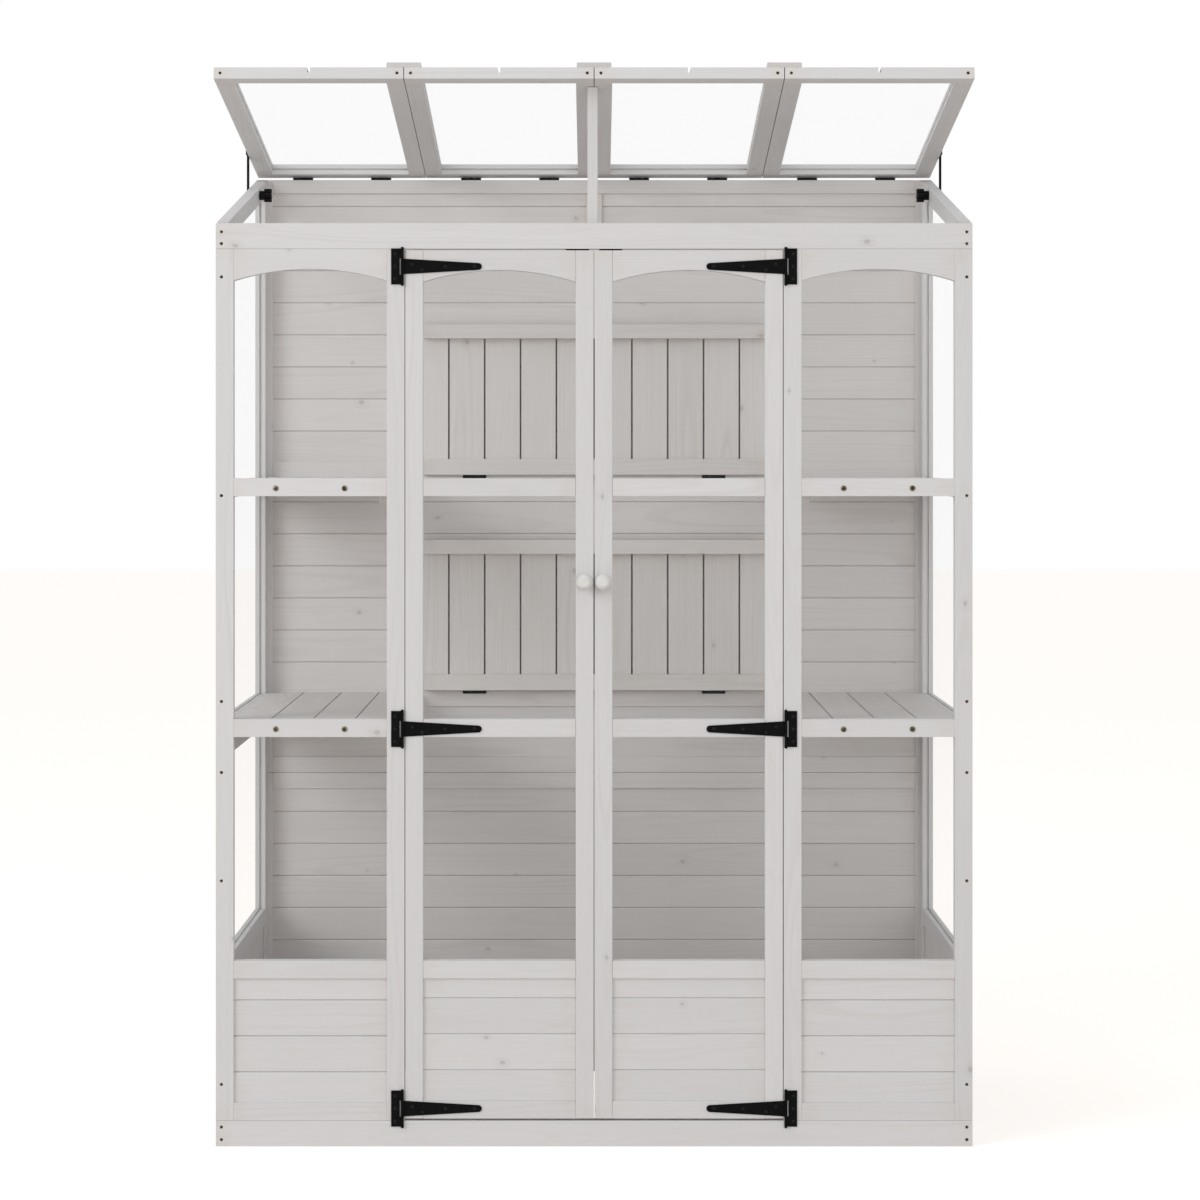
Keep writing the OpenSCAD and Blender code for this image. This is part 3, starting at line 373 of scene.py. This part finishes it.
def knots_on(tree, moved, share):
    """Cores of knots and the halos round them, in a share of the cells of a grid."""
    along, across = 3.4, 15.0
    cell = tree.add(
        "ShaderNodeTexVoronoi",
        {"Vector": tree.scaled(moved, along, across, 0.0), "Scale": 1.0, "Randomness": 0.9},
        voronoi_dimensions="2D",
    )
    middle = tree.scaled(cell.outputs["Position"], 1 / along, 1 / across, 0.0)
    far = tree.vector("SUBTRACT", tree.scaled(moved, 1.0, 1.0, 0.0), middle)
    luck = tree.add("ShaderNodeSeparateColor", {0: cell.outputs["Color"]}).outputs
    wobble = tree.noise(tree.scaled(moved, 130.0, 130.0, 130.0), 1.0)
    away = tree.vector("LENGTH", tree.scaled(far, 0.72, 1.0, 0.0), out=1)
    away = tree.math("ADD", away, tree.math("MULTIPLY_ADD", wobble, 0.003, -0.0015))
    has = tree.math("LESS_THAN", luck[0], share)
    reach = tree.math("MULTIPLY_ADD", luck[1], 0.0030, 0.0020)
    ratio = tree.math("DIVIDE", away, reach)
    core = tree.math("MULTIPLY", tree.ramp(ratio, 1.25, 0.45), has)
    halo = tree.math("MULTIPLY", tree.ramp(ratio, 4.0, 0.9), has)
    return core, halo


def rings_on(tree, spot, moved, luck, halo):
    """Late wood of growth rings round a pith beside the board, bent by slow noise and knots."""
    bend = tree.noise(tree.scaled(moved, 1.7, 7.0, 7.0), 1.0)
    pith = tree.add(
        "ShaderNodeCombineXYZ",
        {
            "Y": tree.math("MULTIPLY_ADD", luck[1], 0.09, -0.045),
            "Z": tree.math("MULTIPLY_ADD", luck[2], 0.05, 0.02),
        },
    )
    across = tree.vector("SUBTRACT", tree.scaled(spot, 0.0, 1.0, 1.0), pith.outputs[0])
    radius = tree.vector("LENGTH", across, out=1)
    radius = tree.math("ADD", radius, tree.math("MULTIPLY", bend, 0.034))
    radius = tree.math("ADD", radius, tree.math("MULTIPLY", halo, 0.0024))
    radius = tree.math("MULTIPLY_ADD", radius, 330.0, tree.math("MULTIPLY", luck[0], 90.0))
    rings = tree.add(
        "ShaderNodeTexNoise",
        {"W": radius, "Scale": 1.0, "Detail": 2.5, "Roughness": 0.55},
        noise_dimensions="1D",
    ).outputs["Fac"]
    return tree.ramp(rings, 0.45, 0.72)


def warmth_on(tree, spot, moved):
    """Where the stain turns warm: towards the board's ends and in blotches."""
    blotch = tree.noise(tree.scaled(moved, 12.0, 30.0, 30.0), 2.0, 0.6)
    reach = tree.vector("SUBTRACT", tree.stored("board_size"), tree.vector("ABSOLUTE", spot))
    rest = tree.split(reach)[0]
    rest = tree.math("ADD", rest, tree.math("MULTIPLY_ADD", blotch, 0.10, -0.05))
    warm = tree.ramp(rest, 0.05, 0.0, 0.0, 0.55)
    return tree.math("ADD", warm, tree.ramp(blotch, 0.6, 0.8, 0.0, 0.35), clamp=True)


def wood(name, light, dark, knot, gap_shade=0.0):
    """White stained softwood. light and dark are the colours between and on the rings.

    gap_shade is how much darker the faces between two slats are drawn: painted shade in the narrow
    gaps."""
    mat, tree, out = new_material(name)
    chance = tree.stored("board_chance")
    luck = tree.split(chance)
    spot = tree.stored("board_spot")
    moved = tree.vector("ADD", spot, tree.scaled(chance, 40.0, 7.0, 7.0))
    core, halo = knots_on(tree, moved, KNOT_SHARE)
    late = rings_on(tree, spot, moved, luck, halo)

    # fine fibres, and the slow change of the stain along the board
    fibre = tree.noise(tree.scaled(moved, 9.0, 620.0, 620.0), 3.0, 0.65)
    streak = tree.noise(tree.scaled(moved, 2.6, 130.0, 130.0), 2.0, 0.6)
    cloud = tree.noise(tree.scaled(moved, 2.2, 13.0, 13.0), 2.0, 0.5)
    share = tree.math("MULTIPLY", late, tree.ramp(cloud, 0.3, 0.7, 0.35, 1.0))
    share = tree.math("ADD", share, tree.ramp(streak, 0.5, 0.75, 0.0, 0.3), clamp=True)

    # tone, darker on the end grain and round the knots, and with painted shade between the slats
    tone = tree.math("MULTIPLY_ADD", luck[0], 0.05, 0.975)
    tone = tree.math("MULTIPLY", tone, tree.ramp(fibre, 0.3, 0.7, 0.975, 1.015))
    tone = tree.math("MULTIPLY", tone, tree.ramp(cloud, 0.2, 0.8, 0.985, 1.01))
    end = tree.math("MULTIPLY_ADD", tree.stored("board_end", "Fac"), -0.12, 1.0)
    tone = tree.math("MULTIPLY", tone, end)
    tone = tree.math("MULTIPLY", tone, tree.ramp(halo, 0.0, 1.0, 1.0, 0.95))
    # painted shade: the faces between two slats are drawn darker, as the narrow gaps are in shade
    if gap_shade:
        gap_shaded = tree.math("MULTIPLY_ADD", tree.stored("slat_gap_shade", "Fac"), -gap_shade, 1.0)
        tone = tree.math("MULTIPLY", tone, gap_shaded)
    colour = tree.shaded(tree.mix(share, rgb(*light), rgb(*dark)), tone)
    tint = tree.vector("MULTIPLY", colour, (0.97, 0.935, 0.915))
    colour = tree.mix(warmth_on(tree, spot, moved), colour, tint)
    colour = tree.mix(tree.math("MULTIPLY", core, 0.42), colour, rgb(*knot))

    rough = tree.math("MULTIPLY_ADD", fibre, 0.16, 0.5)
    rough = tree.math("ADD", rough, tree.math("MULTIPLY", share, 0.06))
    relief = tree.math("ADD", tree.math("MULTIPLY", fibre, 0.5), tree.math("MULTIPLY", share, 0.5))
    relief = tree.math("SUBTRACT", relief, tree.math("MULTIPLY", core, 0.4))
    surface = tree.gloss(colour, rough, tree.bump(relief, 0.35, 0.0004), 0.35)
    tree.feed(out.inputs["Surface"], surface)
    return mat


def metal(name, low, high, rough, shine, metallic=0.0, grain=900.0):
    """Coated or plated metal: mottled between two colours, with a fine orange-peel relief."""
    mat, tree, out = new_material(name)
    where = tree.add("ShaderNodeTexCoord").outputs["Object"]
    mottle = tree.noise(tree.scaled(where, 70.0, 70.0, 70.0), 3.0, 0.6)
    peel = tree.noise(tree.scaled(where, grain, grain, grain), 2.0, 0.5)
    colour = tree.mix(tree.ramp(mottle, 0.35, 0.7), rgb(*low), rgb(*high))
    dull = tree.math("MULTIPLY_ADD", mottle, 0.12, rough - 0.06)
    dull = tree.math("ADD", dull, tree.math("MULTIPLY_ADD", peel, 0.08, -0.04))
    surface = tree.gloss(colour, dull, tree.bump(peel, 0.25, 0.0002), shine, metallic)
    tree.feed(out.inputs["Surface"], surface)
    return mat


def clear_sheet(name):
    """A clear plastic pane with a faint haze, glossy at a slant, and opaque and pale where its
    edge sits in a groove: painted light over the shade inside the groove."""
    mat, tree, out = new_material(name)
    where = tree.add("ShaderNodeTexCoord").outputs["Object"]
    haze = tree.noise(tree.scaled(where, 5.0, 5.0, 5.0), 3.0, 0.55)
    smear = tree.noise(tree.scaled(where, 40.0, 40.0, 9.0), 3.0, 0.6)
    wave = tree.noise(tree.scaled(where, 6.0, 6.0, 6.0), 1.0, 0.5)
    spot = tree.vector("ABSOLUTE", tree.stored("board_spot"))
    rest = tree.split(tree.vector("SUBTRACT", tree.stored("board_size"), spot))
    # painted light: where the pane sits in its groove it is drawn opaque and pale, so the groove's
    # shade does not show through
    painted_light_margin = tree.math("LESS_THAN", tree.math("MINIMUM", rest[0], rest[1]), PANE_TUCK)
    dull = tree.ramp(smear, 0.3, 0.7, 0.05, 0.12)
    gloss = tree.gloss(rgb(0.86, 0.86, 0.86), dull, tree.bump(wave, 0.05, 0.004), 0.5)
    bare = tree.add("ShaderNodeBsdfTransparent", {"Color": rgb(1.0, 1.0, 1.0)})
    fresnel = tree.add("ShaderNodeFresnel", {"IOR": 1.45})
    share = tree.math("MULTIPLY_ADD", haze, 0.012, 0.004)
    share = tree.math("MULTIPLY_ADD", fresnel.outputs[0], 0.05, share, clamp=True)
    share = tree.math("MAXIMUM", share, painted_light_margin)
    mixed = tree.add("ShaderNodeMixShader", {0: share, 1: bare, 2: gloss})
    tree.feed(out.inputs["Surface"], mixed)
    return mat


def paint(name, colour):
    """Smooth paint over turned wood: brush marks, faint mottling and a soft gloss."""
    mat, tree, out = new_material(name)
    where = tree.add("ShaderNodeTexCoord").outputs["Object"]
    mottle = tree.noise(tree.scaled(where, 60.0, 60.0, 60.0), 3.0, 0.6)
    brush = tree.noise(tree.scaled(where, 900.0, 200.0, 900.0), 2.0, 0.5)
    colour = tree.shaded(colour, tree.ramp(mottle, 0.3, 0.7, 0.96, 1.02))
    dull = tree.math("MULTIPLY_ADD", brush, 0.12, 0.36)
    surface = tree.gloss(colour, dull, tree.bump(brush, 0.1, 0.0002), 0.4)
    tree.feed(out.inputs["Surface"], surface)
    return mat


def grey(value):
    return (value, value, value)


# Kind, and the values of each: wood has light, dark and knot colours and how much painted shade
# the faces between the slats get, metal has two colours, roughness, shine, metal share and the
# scale of its relief
KNOT = (0.33, 0.29, 0.25)
FINISHES = {
    "white_wood": (wood, (0.693, 0.690, 0.695), (0.662, 0.655, 0.655), (0.33, 0.30, 0.26)),
    # inner_wood and shelf_wood are a little warmer and darker than white_wood: a painted warm shade
    # for the light that bounces between the boards inside
    "inner_wood": (wood, (0.697, 0.679, 0.670), (0.654, 0.636, 0.622), KNOT),
    "shelf_wood": (wood, (0.700, 0.679, 0.664), (0.656, 0.635, 0.616), KNOT, 0.92),
    "white_paint": (paint, (0.72, 0.715, 0.705)),
    "clear_sheet": (clear_sheet,),
    "black_steel": (metal, grey(0.0022), grey(0.0045), 0.58, 0.06),
    "black_plastic": (metal, grey(0.003), grey(0.006), 0.48, 0.1, 0.0, 500.0),
    "dark_screws": (metal, (0.020, 0.018, 0.013), (0.040, 0.035, 0.025), 0.45, 0.2, 0.4),
    "bright_steel": (metal, (0.10, 0.075, 0.045), (0.36, 0.32, 0.24), 0.34, 0.5, 1.0),
    "black_screws": (metal, grey(0.003), grey(0.010), 0.42, 0.25, 0.0, 500.0),
    # recess: a near black for the hollows of the screws' cross recesses, painted shade
    "recess": (metal, (0.006, 0.005, 0.003), (0.02, 0.017, 0.012), 0.5, 0.2),
    "bare_wood": (metal, (0.20, 0.13, 0.07), (0.42, 0.33, 0.22), 0.8, 0.2),
}
materials = {name: kind(name, *values) for name, (kind, *values) in FINISHES.items()}
slots = {part["node"]: part["material_slot"] for part in frame["record"]["subparts"]}
grain, grain_inputs = board_group()

for number, (node, obj) in enumerate(sorted(frame["nodes"].items())):
    knob = node.endswith("door_knob")
    finish = "white_paint" if knob else slots[node]
    # the folding shelves get shelf_wood, which paints shade onto the faces between their slats
    if node.endswith("folding_shelf"):
        finish = "shelf_wood"
    for place in obj.material_slots:
        place.material = materials[finish]
    if knob or not slots[node].endswith(("wood", "sheet")):
        continue
    found = obj.modifiers.new("board_grain", "NODES")
    found.node_group = grain
    sloped = node.startswith("skylight") or node == "seam_strips"
    found[grain_inputs["Slope"]] = -ROOF_SLOPE if sloped else 0.0
    found[grain_inputs["Seed"]] = number
    if slots[node] == "clear_sheet":
        continue
    soft = obj.modifiers.new("soft_edges", "BEVEL")
    soft.width = EDGE
    soft.segments = 2
    soft.limit_method = "ANGLE"
    soft.angle_limit = math.radians(35)


# Screws: domed heads with a cross recess drawn near black as painted shade, and the bare rims round
# the sunk ones
def skin(bm, first, second):
    """Faces between two closed rows of points. A row may be one point many times."""
    for n in range(len(first)):
        corners = [first[n], first[n - 1], second[n - 1], second[n]]
        bm.faces.new(list(dict.fromkeys(corners)))


def mesh_of(bm, name):
    bmesh.ops.recalc_face_normals(bm, faces=bm.faces)
    mesh = bpy.data.meshes.new(name)
    bm.to_mesh(mesh)
    bm.free()
    return mesh


def circle(segments):
    return [2 * math.pi * n / segments for n in range(segments)]


def spun(rings):
    """A closed round solid about Y. rings are radius and y, from the front pole to the back."""
    turns = circle(24)
    bm = bmesh.new()
    rows = []
    for radius, y in rings:
        if radius == 0.0:
            rows.append([bm.verts.new((0.0, y, 0.0))] * len(turns))
            continue
        rows.append([bm.verts.new((radius * math.cos(a), y, radius * math.sin(a))) for a in turns])
    for first, second in zip(rows, rows[1:]):
        skin(bm, first, second)
    return mesh_of(bm, "spun")


def cross_cutter(arm, half, front, depth):
    """A cross that narrows towards its bottom, at 45 degrees about Y."""
    outline = [(arm, -half), (arm, half), (half, half), (half, arm), (-half, arm), (-half, half)]
    outline += [(-x, -z) for x, z in outline]
    turn = math.sqrt(0.5)
    bm = bmesh.new()
    rows = []
    for y, scale in ((front, 1.15), (front + depth, 0.7)):
        spots = [((x - z) * turn * scale, y, (x + z) * turn * scale) for x, z in outline]
        rows.append([bm.verts.new(spot) for spot in spots])
    bm.faces.new(rows[0])
    bm.faces.new(rows[1])
    skin(bm, rows[0], rows[1])
    return mesh_of(bm, "cross_cutter")


# Shape of a screw's dome, as shares of its radius and height
DOME = ((0.0, 1.0), (0.38, 0.97), (0.7, 0.82), (0.9, 0.56), (1.0, 0.22), (1.0, 0.0))


def screw_mesh(radius, height, shank_radius, shank_length):
    """A domed screw head at the origin that faces -Y, with its shank behind it.

    Faces of the cross recess get the second material, a near black: painted shade in the hollow."""
    rings = [(across * radius, -up * height) for across, up in DOME]
    rings += [(shank_radius, 0.0), (shank_radius, shank_length - shank_radius), (0.0, shank_length)]
    head = bpy.data.objects.new("head", spun(rings))
    cross = cross_cutter(0.74 * radius, 0.2 * radius, -1.4 * height, 1.05 * height)
    cutter = bpy.data.objects.new("cutter", cross)
    for obj in (head, cutter):
        bpy.context.collection.objects.link(obj)
    cut = head.modifiers.new("cut", "BOOLEAN")
    cut.operation = "DIFFERENCE"
    cut.object = cutter
    bpy.context.view_layer.update()
    depsgraph = bpy.context.evaluated_depsgraph_get()
    made = bpy.data.meshes.new_from_object(head.evaluated_get(depsgraph))
    for obj in (head, cutter):
        old = obj.data
        bpy.data.objects.remove(obj)
        bpy.data.meshes.remove(old)
    for face in made.polygons:
        inside = face.center.xz.length < 0.85 * radius and face.center.y < -0.1 * height
        wall = abs(face.normal.y) < 0.55
        bottom = face.center.y > -0.5 * height
        face.material_index = int(inside and (wall or bottom))
    return made


# Rows of a rim's ring: radius, depth and how ragged the row is, in millimetres
RIM_ROWS = ((2.45, 0.3, 0.0), (2.45, -0.03, 0.0), (3.2, -0.06, 1.0), (3.4, 0.1, 1.0))


def rim_mesh(seed):
    """A ragged flat ring round a sunk screw, where the stain has come off."""
    bm = bmesh.new()
    rows = []
    for radius, y, ragged in RIM_ROWS:
        row = []
        for turn in circle(20):
            wave = 0.25 * math.sin(3 * turn + seed) + 0.2 * math.sin(7 * turn + 2.3 * seed)
            reach = (radius + ragged * wave) / 1000
            row.append(bm.verts.new((reach * math.cos(turn), y / 1000, reach * math.sin(turn))))
        rows.append(row)
    for first, second in zip(rows, rows[1:] + rows[:1]):
        skin(bm, first, second)
    return mesh_of(bm, "rim")


def spread(name, meshes, places, finishes, body):
    """One object that holds a mesh at each place, made of the given meshes in turn."""
    points, faces, marks = [], [], []
    for n, place in enumerate(places):
        mesh = meshes[n % len(meshes)]
        start = len(points)
        points += [place @ vert.co for vert in mesh.vertices]
        faces += [[start + v for v in face.vertices] for face in mesh.polygons]
        marks += [face.material_index for face in mesh.polygons]
    joined = bpy.data.meshes.new(name)
    joined.from_pydata(points, [], faces)
    for finish in finishes:
        joined.materials.append(materials[finish])
    joined.polygons.foreach_set("material_index", marks)
    joined.polygons.foreach_set("use_smooth", [True] * len(faces))
    joined.set_sharp_from_angle(angle=math.radians(40))
    obj = bpy.data.objects.new(name, joined)
    bpy.context.collection.objects.link(obj)
    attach(obj, body)
    return obj


def at(x, y, z, turn=0.0):
    """A place turned about Y, in millimetres from the middle, the front face and the ground."""
    place = Matrix.Translation((x / 1000, y / 1000 - MID_Y, z / 1000))
    return place @ Matrix.Rotation(turn, 4, "Y")


small_head = screw_mesh(0.0031, 0.0013, 0.0015, 0.002)
shelf_head = screw_mesh(0.0055, 0.0028, 0.0022, 0.034)
BLACK = ["black_screws", "black_steel"]

plate_places, strap_places = [], {-1: [], 1: []}
for side in (-1, 1):
    for row, z in enumerate(HINGE_ZS):
        for n, (out, up) in enumerate(PLATE_SPOTS):
            turn = 0.7 * n + 0.4 * row + side
            plate_places.append(at(side * (PIN_X + out), STRAP_FACE, z + up, turn))
        for n, (inward, up) in enumerate(STRAP_SPOTS):
            turn = 0.9 * n + 0.5 * row + side
            strap_places[side].append(at(side * (PIN_X - inward), STRAP_FACE, z + up, turn))
spread("plate_screw_heads", [small_head], plate_places, BLACK, "frame")
for side, hand in ((-1, "left"), (1, "right")):
    name = f"{hand}_strap_screw_heads"
    spread(name, [small_head], strap_places[side], BLACK, f"{hand}_door")

shelf_places = [
    at(side * x, 0.0, z, 0.6 * n + 0.3 * side)
    for side in (-1, 1)
    for n, (x, z) in enumerate((x, z) for x in SHELF_SCREW_XS for z in SHELF_SCREW_ZS)
]
# the shelf screws' cross recesses get painted shade
steel = ["bright_steel", "recess"]
shelf_screws = spread("shelf_screw_set", [shelf_head], shelf_places, steel, "frame")
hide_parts("shelf_screws")

rims = [rim_mesh(1.7 * n) for n in range(5)]
front_places = [at(side * POST_SCREW_X, 0.0, z) for side in (-1, 1) for z in POST_SCREW_ZS]
spread("front_screw_rims", rims, front_places, ["bare_wood"], "frame")
roof_turn = at(0, ROOF_PIN_Y, ROOF_PIN_Z) @ Matrix.Rotation(ROOF_SLOPE, 4, "X")
roof_places = [
    roof_turn @ Matrix.Translation((x / 1000, -ROOF_SCREW_OUT / 1000, ROOF_SCREW_UP / 1000))
    for x in ROOF_SCREW_XS
]
spread("roof_screw_rims", rims, roof_places, ["bare_wood"], "roof")
